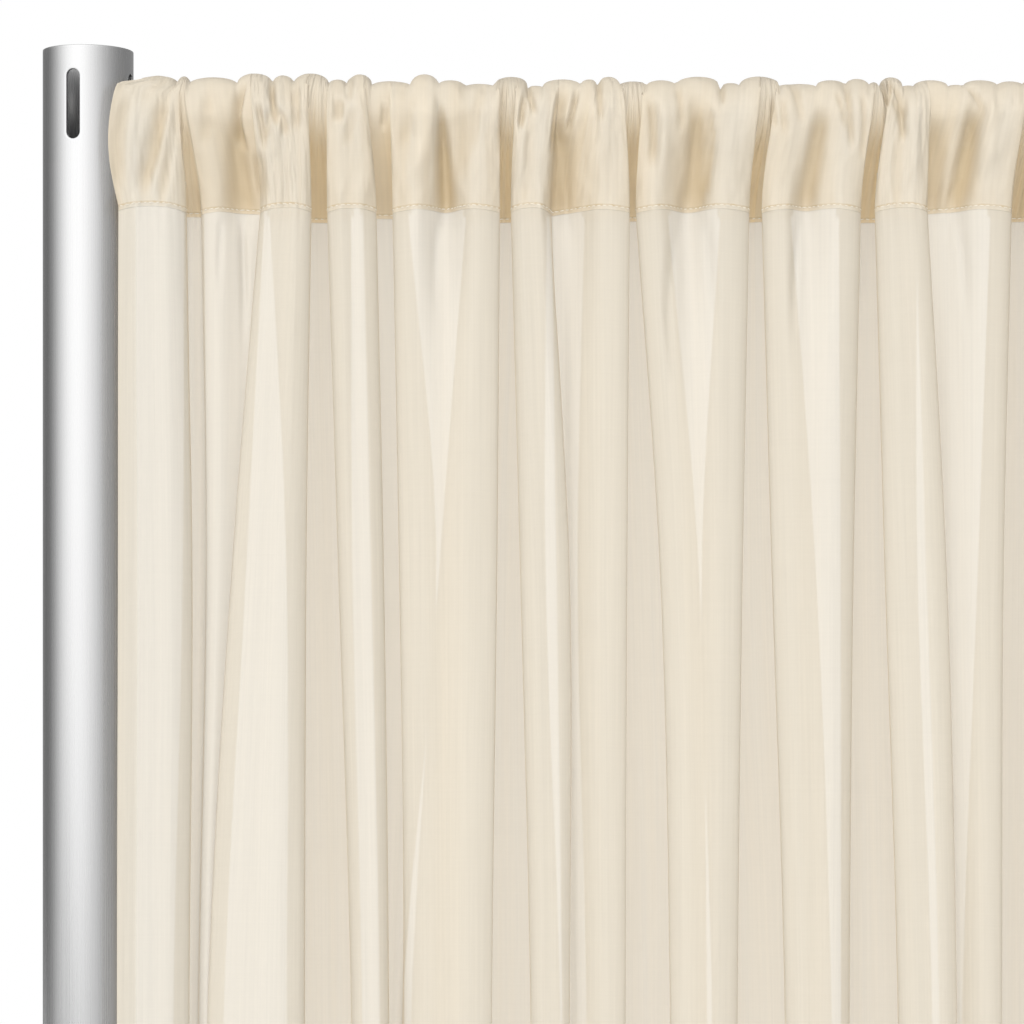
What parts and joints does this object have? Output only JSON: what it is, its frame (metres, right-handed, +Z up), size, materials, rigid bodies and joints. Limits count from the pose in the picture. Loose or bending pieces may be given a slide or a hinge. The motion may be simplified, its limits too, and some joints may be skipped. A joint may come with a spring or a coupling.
{
  "type": "chiffon curtain panel on a crossbar stand",
  "caption": "Sheer chiffon curtain panel gathered by its rod pocket on a crossbar that hooks into slotted uprights on flat plate bases.",
  "frame": {"origin": "on the ground, midway between the uprights' axes", "axes": "+Z up, +X to the right along the crossbar as seen from the front, the front faces -Y"},
  "size_m": [1.016, 0.356, 2.438],
  "materials": {
    "chiffon": "sheer cream chiffon, plain weave",
    "brushed_aluminium": "brushed",
    "plain_steel": "plain",
    "powder_coat": "fine powder coat"
  },
  "bodies": {
    "root": {"curtain_panel": "chiffon", "crossbar": "brushed_aluminium", "left_hook": "plain_steel", "right_hook": "plain_steel", "left_upright": "brushed_aluminium", "right_upright": "brushed_aluminium", "left_base": "powder_coat", "right_base": "powder_coat"}
  },
  "joints": []
}
